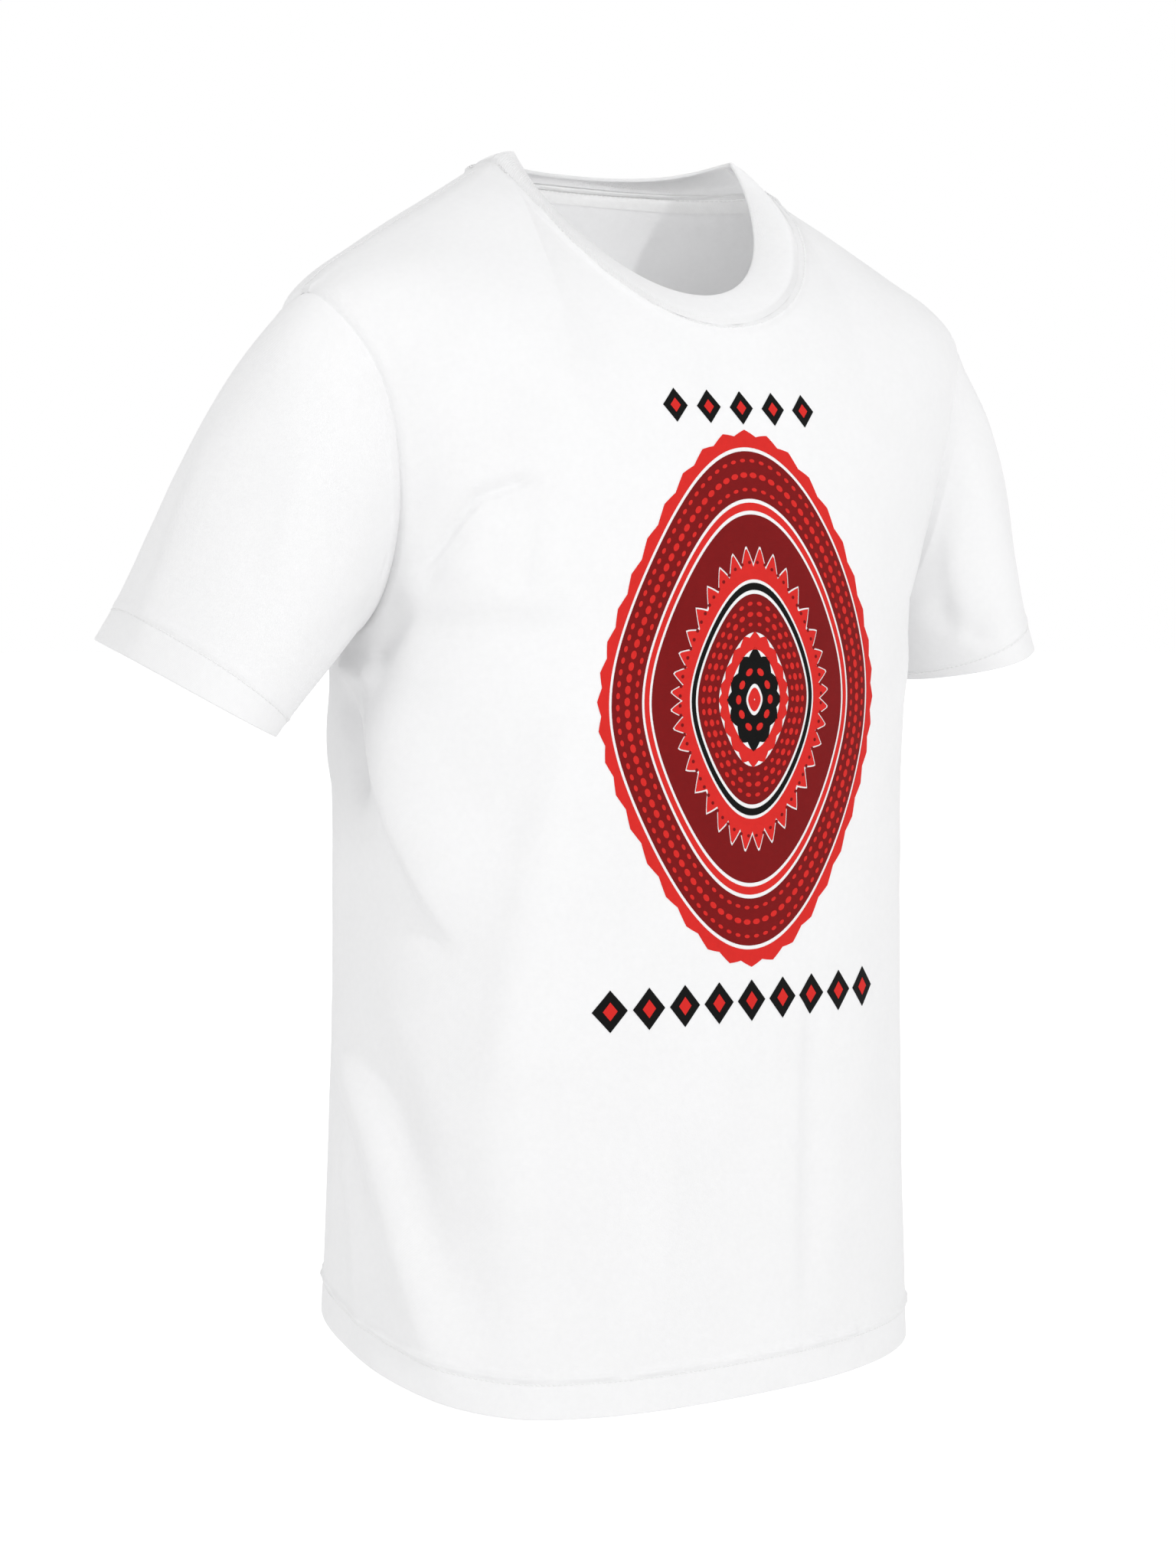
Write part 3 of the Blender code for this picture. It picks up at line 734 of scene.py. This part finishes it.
def stitchRow(mesh, points, normals):
    # One grain of thread for each pitch along the line
    line = lengthsAlong(points, 0)
    count = int(line[-1] / thread["pitch"])
    row = bmesh.new()
    for index in range(count):
        place = (index + 0.5) * thread["pitch"]
        centre, normal, ahead = [
            Vector([np.interp(at, line, values[:, axis]) for axis in range(3)])
            for at, values in ((place, points), (place, normals), (place + 1e-4, points))
        ]
        along = (ahead - centre).normalized()
        side = along.cross(normal).normalized()
        basis = Matrix((side, normal, along)).transposed().to_4x4()
        size = Matrix.Diagonal((thread["width"], thread["height"], thread["length"] / 2, 1))
        raised = centre + normal * thread["height"] * 0.5
        place = Matrix.Translation(raised - Vector(body["middle"]))
        bmesh.ops.create_uvsphere(row, u_segments=thread["segments"], v_segments=thread["rings"],
                                  radius=1, matrix=place @ basis @ size)
    for face in row.faces:
        face.smooth = True
    data = bpy.data.meshes.new("row")
    row.to_mesh(data)
    row.free()
    mesh.from_mesh(data)
    bpy.data.meshes.remove(data)


def makeStitches(name, material, rows):
    mesh = bmesh.new()
    for points, normals in rows:
        stitchRow(mesh, points, normals)
    return pieceFrom(name, mesh, material)


def hemStitchRows():
    turn = np.linspace(-math.pi, math.pi, 1500)
    height = hemHeight(turn) + hem["row"]
    yield torsoPoints(turn, height), torsoNormals(turn, height)


def sleeveStitchRows(side):
    around = np.linspace(0, 2 * math.pi, 800)
    along = np.full_like(around, 1 - sleeves["row"] / sleeves["length"])
    yield sleevePoints(side, around, along), sleeveNormals(sleeves[side], around, along)


def neckStitchRow():
    # Cover stitch on the body just below the collar's seam
    lowered = neckline(allRound)[1] - thread["belowNeck"]
    front = np.cos(allRound) > 0
    x = (body["neckHalfWidth"] + thread["besideNeck"]) * np.sin(allRound)
    shifted = np.where(front, turnFromX(x, lowered, False), math.pi - turnFromX(x, lowered, True))
    yield torsoPoints(shifted, lowered), torsoNormals(shifted, lowered)


def shoulderStitchRows():
    low, high = thread["shoulderEnds"]
    height = np.linspace(body["shoulderTip"] + low, body["length"] - high, 300)
    for side in (-1, 1):
        turn = side * (rightAngle + thread["behindShoulder"] + 0 * height)
        yield torsoPoints(turn, height), torsoNormals(turn, height)


def tapeStitchRows():
    turn, height = neckline(np.linspace(*thread["tapeReach"], 400) * rightAngle)
    height = height - tape["below"] - tape["ridgeWidth"] - thread["belowTape"]
    depth = np.full_like(height, tape["depth"] + tape["thickness"])
    yield torsoPoints(turn, height, depth), -torsoNormals(turn, height)


chestPrint = {
    "middle": (0.004, 0.418),
    "halfWidth": 0.100,
    "halfHeight": 0.156,
    "point": 0.09,  # how far its top and bottom are drawn out
    "proud": 0.00020,
    "columns": 320,
    "ringRows": 5,
    "beadSides": 10,
    "lozengeCells": 6,
    "layerRise": 0.4,  # of one layer of ink over another, as a share of the height
    "filmShare": 0.6,
    "samples": 721,
    "black": 2,
    # colours are 0 for bright red, 1 for dark red and 2 for black
    # size at the inner and outer edge, colour, teeth, and the bite of the teeth on either edge
    "rings": [
        (0.955, 1.000, 0, 40, 0.000, 0.022),
        (0.760, 0.940, 1, 0, 0, 0),
        (0.715, 0.745, 0, 0, 0, 0),
        (0.590, 0.700, 1, 36, -0.075, 0.000),
        (0.455, 0.580, 0, 36, 0.000, -0.078),
        (0.415, 0.442, 2, 0, 0, 0),
        (0.255, 0.400, 1, 0, 0, 0),
        (0.190, 0.238, 0, 20, 0.000, 0.020),
        (0.060, 0.170, 2, 12, 0.000, 0.030),
        (0.004, 0.045, 0, 0, 0, 0),
    ],
    # rows of beads: size of the row, number, colour, half length and half width
    "beads": [
        (0.905, 104, 0, 0.0019, 0.0011),
        (0.850, 98, 0, 0.0026, 0.0017),
        (0.795, 92, 0, 0.0019, 0.0011),
        (0.365, 42, 0, 0.0019, 0.0012),
        (0.325, 38, 0, 0.0022, 0.0015),
        (0.287, 34, 0, 0.0015, 0.0011),
        (0.115, 10, 0, 0.0028, 0.0019),
        (0.520, 72, 1, 0.0011, 0.0010),
    ],
    # rows of lozenges: height, number, step, half width, half height, colour
    "lozenges": [
        (0.2385, 9, 0.0235, 0.0102, 0.0125, 2),
        (0.2385, 9, 0.0235, 0.0042, 0.0055, 0),
        (0.5905, 5, 0.0235, 0.0085, 0.0100, 2),
        (0.5905, 5, 0.0235, 0.0035, 0.0042, 0),
    ],
}


def medallion(size, around):
    point = chestPrint["point"]
    x, height = chestPrint["middle"]
    reach = chestPrint["halfHeight"] * size / (1 + point)
    x = x + chestPrint["halfWidth"] * size * math.sin(around)
    return x, height + reach * (math.cos(around) + point * math.cos(3 * around))


def printShape(made, colour, layer, place):
    # Lays new vertices out flat by this rule; their third value is the layer of ink
    for vertex in made:
        vertex.co = (*place(vertex.co.x, vertex.co.y), layer)
        for face in vertex.link_faces:
            face.material_index = colour


def printRing(mesh, inner, outer, colour, teeth, innerBite, outerBite):
    def place(across, up):
        around, share = (across + 0.5) * 2 * math.pi, up + 0.5
        tooth = abs((teeth * (across + 0.5)) % 1 * 2 - 1)
        size = (inner + innerBite * tooth) * (1 - share) + (outer + outerBite * tooth) * share
        return medallion(size, around)

    made = bmesh.ops.create_grid(mesh, x_segments=chestPrint["columns"],
                                 y_segments=chestPrint["ringRows"], size=0.5)["verts"]
    printShape(made, colour, 0, place)
    bmesh.ops.remove_doubles(mesh, verts=made, dist=joinReach)


def printBeads(mesh, size, count, colour, halfLength, halfWidth):
    turns = np.linspace(0, 2 * math.pi, chestPrint["samples"])
    curve = np.array([medallion(size, turn) for turn in turns])
    lengths = lengthsAlong(curve, 0)
    for index in range(count):
        around = np.interp((index + 0.5) / count * lengths[-1], lengths, turns)
        centre = np.array(medallion(size, around))
        ahead = np.array(medallion(size, around + 1e-3)) - centre
        ahead = ahead / np.hypot(*ahead)
        side = np.array([-ahead[1], ahead[0]])
        made = bmesh.ops.create_circle(mesh, cap_ends=True, segments=chestPrint["beadSides"],
                                       radius=1)["verts"]
        printShape(made, colour, 1,
                   lambda x, y: centre + ahead * x * halfLength + side * y * halfWidth)


def printLozenges(mesh, height, count, step, halfWidth, halfHeight, colour):
    cells = chestPrint["lozengeCells"]
    layer = 0 if colour == chestPrint["black"] else 1
    for index in range(count):
        x = chestPrint["middle"][0] + (index - (count - 1) / 2) * step
        made = bmesh.ops.create_grid(mesh, x_segments=cells, y_segments=cells, size=0.5)["verts"]
        printShape(made, colour, layer,
                   lambda a, b: (x + (a + b) * halfWidth, height + (a - b) * halfHeight))


def makePrint(materials):
    mesh = bmesh.new()
    for ring in chestPrint["rings"]:
        printRing(mesh, *ring)
    for row in chestPrint["beads"]:
        printBeads(mesh, *row)
    for row in chestPrint["lozenges"]:
        printLozenges(mesh, *row)
    bmesh.ops.recalc_face_normals(mesh, faces=mesh.faces)
    flat = np.array([vertex.co for vertex in mesh.verts])
    x, height, layer = flat[:, 0], flat[:, 1], flat[:, 2]
    uvLayer = mesh.loops.layers.uv.new("cloth")
    mesh.verts.index_update()
    for face in mesh.faces:
        for loop in face.loops:
            loop[uvLayer].uv = (x[loop.vert.index], height[loop.vert.index])
    lift = chestPrint["proud"] * (1 + layer * chestPrint["layerRise"])
    placed = torsoPoints(turnFromX(x, height, False), height, -lift) - body["middle"]
    for vertex, point in zip(mesh.verts, placed.tolist()):
        vertex.co = point
    mesh.normal_update()
    bmesh.ops.reverse_faces(mesh, faces=[face for face in mesh.faces if face.normal.y > 0])
    for face in mesh.faces:
        face.smooth = True
    piece = pieceFrom("chestPrint", mesh, materials[0])
    for material in materials[1:]:
        piece.data.materials.append(material)
    thicken(piece, chestPrint["proud"] * chestPrint["filmShare"])
    return piece


# Materials
def addNode(tree, kind, inputs, **settings):
    node = tree.nodes.new(kind)
    for key, value in settings.items():
        setattr(node, key, value)
    for index, value in inputs.items():
        if isinstance(value, bpy.types.NodeSocket):
            tree.links.new(value, node.inputs[index])
        else:
            node.inputs[index].default_value = value
    return node


def calculate(tree, operation, first, second=0.0):
    return addNode(tree, "ShaderNodeMath", {0: first, 1: second}, operation=operation).outputs[0]


fabric = {
    "sheenRoughness": 0.5,
    "specular": 0.1,
    "wave": 0.35,
    "slubs": 260,
    "tone": 22,
    "toneEnds": (0.35, 0.65),
    "fuzz": 1400,
    "fuzzShare": 0.6,
    "bump": 0.5,
}

yarn = {"roughness": 0.6, "sheen": 0.3, "strands": 2500, "bump": 0.4, "depth": 0.0001}

knits = {
    # a wale and a course are the width and the height of one loop of knitting, in metres
    "jersey": {"wale": 0.00085, "course": 0.00060, "slant": 0.5, "depth": 0.00016},
    "rib": {"wale": 0.00070, "course": 0.00062, "slant": 0.5, "depth": 0.00012},
    "twill": {"wale": 0.00150, "course": 0.00060, "slant": 1.6, "depth": 0.00020},
}


def knitHeight(tree, knit):
    # Columns of V-shaped loops, from the cloth's own UV map in metres
    uv = addNode(tree, "ShaderNodeUVMap", {}, uv_map="cloth").outputs[0]
    split = addNode(tree, "ShaderNodeSeparateXYZ", {0: uv})
    wale = calculate(tree, "MULTIPLY", split.outputs[0], 1 / knit["wale"])
    course = calculate(tree, "MULTIPLY", split.outputs[1], 1 / knit["course"])
    arm = calculate(tree, "PINGPONG", wale, 0.5)
    slanted = calculate(tree, "ADD", course, calculate(tree, "MULTIPLY", arm, 2 * knit["slant"]))
    wave = calculate(tree, "SINE", calculate(tree, "MULTIPLY", slanted, 2 * math.pi))
    ridge = calculate(tree, "SINE", calculate(tree, "MULTIPLY", arm, 2 * math.pi))
    return calculate(tree, "ADD", ridge, calculate(tree, "MULTIPLY", wave, fabric["wave"]))


def noiseNode(tree, place, scale, detail):
    inputs = {"Vector": place, "Scale": scale, "Detail": detail}
    return addNode(tree, "ShaderNodeTexNoise", inputs).outputs[0]


def addBump(tree, height, strength, distance):
    inputs = {"Height": height, "Strength": strength, "Distance": distance}
    bump = addNode(tree, "ShaderNodeBump", inputs)
    tree.links.new(bump.outputs[0], tree.nodes["Principled BSDF"].inputs["Normal"])


def makeFabric(name, colour, roughness, knit, sheen, shade):
    material = bpy.data.materials.new(name)
    material.use_nodes = True
    tree = material.node_tree
    surface = tree.nodes["Principled BSDF"]
    surface.inputs["Roughness"].default_value = roughness
    surface.inputs["Sheen Weight"].default_value = sheen
    surface.inputs["Sheen Roughness"].default_value = fabric["sheenRoughness"]
    surface.inputs["Specular IOR Level"].default_value = fabric["specular"]
    place = addNode(tree, "ShaderNodeTexCoord", {}).outputs["Object"]
    slubs = noiseNode(tree, place, fabric["slubs"], 3)
    tone = noiseNode(tree, place, fabric["tone"], 4)
    blend = calculate(tree, "ADD", slubs, tone)
    ramp = addNode(tree, "ShaderNodeValToRGB", {0: calculate(tree, "MULTIPLY", blend, 0.5)})
    for end, position, share in zip(ramp.color_ramp.elements, fabric["toneEnds"], (shade, 1)):
        end.position = position
        end.color = (*[value * share for value in colour], 1)
    tree.links.new(ramp.outputs[0], surface.inputs["Base Color"])
    fuzz = noiseNode(tree, place, fabric["fuzz"], 2)
    height = calculate(tree, "ADD", knitHeight(tree, knit),
                       calculate(tree, "MULTIPLY", fuzz, fabric["fuzzShare"]))
    addBump(tree, height, fabric["bump"], knit["depth"])
    return material


def makeThread(name, colour):
    material = bpy.data.materials.new(name)
    material.use_nodes = True
    tree = material.node_tree
    surface = tree.nodes["Principled BSDF"]
    surface.inputs["Base Color"].default_value = (*colour, 1)
    surface.inputs["Roughness"].default_value = yarn["roughness"]
    surface.inputs["Sheen Weight"].default_value = yarn["sheen"]
    place = addNode(tree, "ShaderNodeTexCoord", {}).outputs["Object"]
    addBump(tree, noiseNode(tree, place, yarn["strands"], 1), yarn["bump"], yarn["depth"])
    return material


jersey = makeFabric("whiteJersey", (0.90, 0.90, 0.905), 0.9, knits["jersey"], 0.10, 0.975)
# The rib's white is set a little darker than the jersey's. The step is painted shade standing for
# the shadow between the ribs, on top of the yarn's own white.
ribKnit = makeFabric("whiteRib", (0.89, 0.89, 0.895), 0.92, knits["rib"], 0.10, 0.975)
twill = makeFabric("whiteTwill", (0.92, 0.92, 0.92), 0.85, knits["twill"], 0.10, 0.96)
whiteThread = makeThread("whiteThread", (0.83, 0.83, 0.83))
inks = [
    makeFabric("brightRedInk", (0.70, 0.024, 0.020), 0.62, knits["jersey"], 0.0, 0.92),
    makeFabric("darkRedInk", (0.205, 0.006, 0.007), 0.62, knits["jersey"], 0.0, 0.90),
    makeFabric("blackInk", (0.004, 0.004, 0.004), 0.62, knits["jersey"], 0.0, 0.70),
]
print("materials made")

frontPanel = makePanel("frontPanel", jersey, back=False)
backPanel = makePanel("backPanel", jersey, back=True)
bodyHem = makeBodyHem(jersey)
print("torso made")

rightSleeve, leftSleeve = makeSleeve("right", jersey), makeSleeve("left", jersey)
rightSleeveHem, leftSleeveHem = makeSleeveHem("right", jersey), makeSleeveHem("left", jersey)
print("sleeves made")

collarBand = makeCollar(ribKnit)
neckTape = makeTape(twill)
print("collar made")

printFilm = makePrint(inks)
hemStitches = makeStitches("hemStitches", whiteThread, hemStitchRows())
rightStitches = makeStitches("rightSleeveStitches", whiteThread, sleeveStitchRows("right"))
leftStitches = makeStitches("leftSleeveStitches", whiteThread, sleeveStitchRows("left"))
neckStitches = makeStitches("neckStitches", whiteThread, neckStitchRow())
shoulderStitches = makeStitches("shoulderStitches", whiteThread, shoulderStitchRows())
tapeStitches = makeStitches("tapeStitches", whiteThread, tapeStitchRows())
print("print and stitches made")

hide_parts("front_panel")
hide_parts("back_panel")
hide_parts("front_hem", "back_hem")
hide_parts("right_sleeve")
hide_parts("left_sleeve")
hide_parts("right_sleeve_hem")
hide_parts("left_sleeve_hem")
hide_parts("collar")
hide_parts("neck_tape")

studio = {
    "floorSize": 60.0,
    "floorTone": 0.30,
    "floorGlow": 0.69,
    "seenSky": 1.0,
    "dimSky": 0.765,
    "brightSky": 0.06,
    "brightSide": (-0.90, -0.20, 0.30),
    # energy, place and size of the soft lamps, which face one point
    "lamps": [
        (22.0, (0.40, -2.85, 1.72), 0.20),
        (11.0, (-2.50, -0.95, 1.80), 0.9),
        (7.0, (1.70, 2.40, 1.60), 0.5),
    ],
    "aim": (0, 0, 0.42),
    "inner": {"energy": 0.12, "place": (-0.02, -0.02, 0.56), "size": 0.12, "towards": (0, 0.5, 1)},
}

camera = {
    "eye": np.array([-0.9786, -1.4508, 0.470]) - body["middle"],
    "azimuth": math.radians(-34),
    "pitch": math.radians(3.57),
    "lens": 63.49,
    "shift": -0.019,
    "sensor": 36,
}


def makeFloor():
    # A wide pale floor, as bright as the sky that it meets
    mesh = bmesh.new()
    half = studio["floorSize"] / 2
    bmesh.ops.create_circle(mesh, cap_ends=True, radius=half, segments=96)
    material = bpy.data.materials.new("paleFloor")
    material.use_nodes = True
    surface = material.node_tree.nodes["Principled BSDF"]
    surface.inputs["Base Color"].default_value = (*[studio["floorTone"]] * 3, 1)
    surface.inputs["Roughness"].default_value = 0.9
    surface.inputs["Specular IOR Level"].default_value = 0.1
    surface.inputs["Emission Color"].default_value = (1, 1, 1, 1)
    isSeen = addNode(material.node_tree, "ShaderNodeLightPath", {}).outputs["Is Camera Ray"]
    glow = calculate(material.node_tree, "MAXIMUM", isSeen, studio["floorGlow"])
    material.node_tree.links.new(glow, surface.inputs["Emission Strength"])
    data = bpy.data.meshes.new("floor")
    bmesh.ops.recalc_face_normals(mesh, faces=mesh.faces)
    mesh.to_mesh(data)
    mesh.free()
    data.shade_smooth()
    data.materials.append(material)
    floor = sceneObject("floor", data)


def makeLamp(name, energy, place, size, towards):
    data = bpy.data.lights.new(name, "AREA")
    data.shape = "DISK"
    data.size = size
    data.energy = energy
    lamp = sceneObject(name, data)
    lamp.location = place
    lamp.rotation_euler = Vector(towards).to_track_quat("-Z", "Y").to_euler()
    return lamp


def makeLight():
    world = bpy.data.worlds.new("studio")
    bpy.context.scene.world = world
    world.use_nodes = True
    tree = world.node_tree
    seen = tree.nodes["Background"]
    seen.inputs["Color"].default_value = (1, 1, 1, 1)
    seen.inputs["Strength"].default_value = studio["seenSky"]
    towards = addNode(tree, "ShaderNodeTexCoord", {}).outputs["Generated"]
    facing = addNode(tree, "ShaderNodeVectorMath", {0: towards, 1: studio["brightSide"]},
                     operation="DOT_PRODUCT").outputs["Value"]
    extra = calculate(tree, "MAXIMUM", facing, 0.0)
    extra = calculate(tree, "MULTIPLY", extra, studio["brightSky"])
    light = addNode(tree, "ShaderNodeBackground", {
        "Color": (1, 1, 1, 1), "Strength": calculate(tree, "ADD", extra, studio["dimSky"])})
    isSeen = addNode(tree, "ShaderNodeLightPath", {}).outputs["Is Camera Ray"]
    sky = addNode(tree, "ShaderNodeMixShader", {0: isSeen, 1: light.outputs[0], 2: seen.outputs[0]})
    tree.links.new(sky.outputs[0], tree.nodes["World Output"].inputs[0])
    for energy, place, size in studio["lamps"]:
        makeLamp("lamp", energy, place, size, Vector(studio["aim"]) - Vector(place))
    # The inner lamp stands for the light that comes through the thin cloth
    inner = makeLamp("inner", **studio["inner"])
    inner.visible_camera = False


def makeCamera():
    data = bpy.data.cameras.new("camera")
    data.sensor_width = camera["sensor"]
    data.lens = camera["lens"]
    data.shift_x = camera["shift"]
    eye = sceneObject("camera", data)
    eye.location = camera["eye"]
    level = math.cos(camera["pitch"])
    towards = Vector((-math.sin(camera["azimuth"]) * level, math.cos(camera["azimuth"]) * level,
                      -math.sin(camera["pitch"])))
    eye.rotation_euler = towards.to_track_quat("-Z", "Y").to_euler()
    bpy.context.scene.camera = eye


makeFloor()
makeLight()
makeCamera()
bpy.context.scene.view_settings.view_transform = "Standard"
print("studio made")
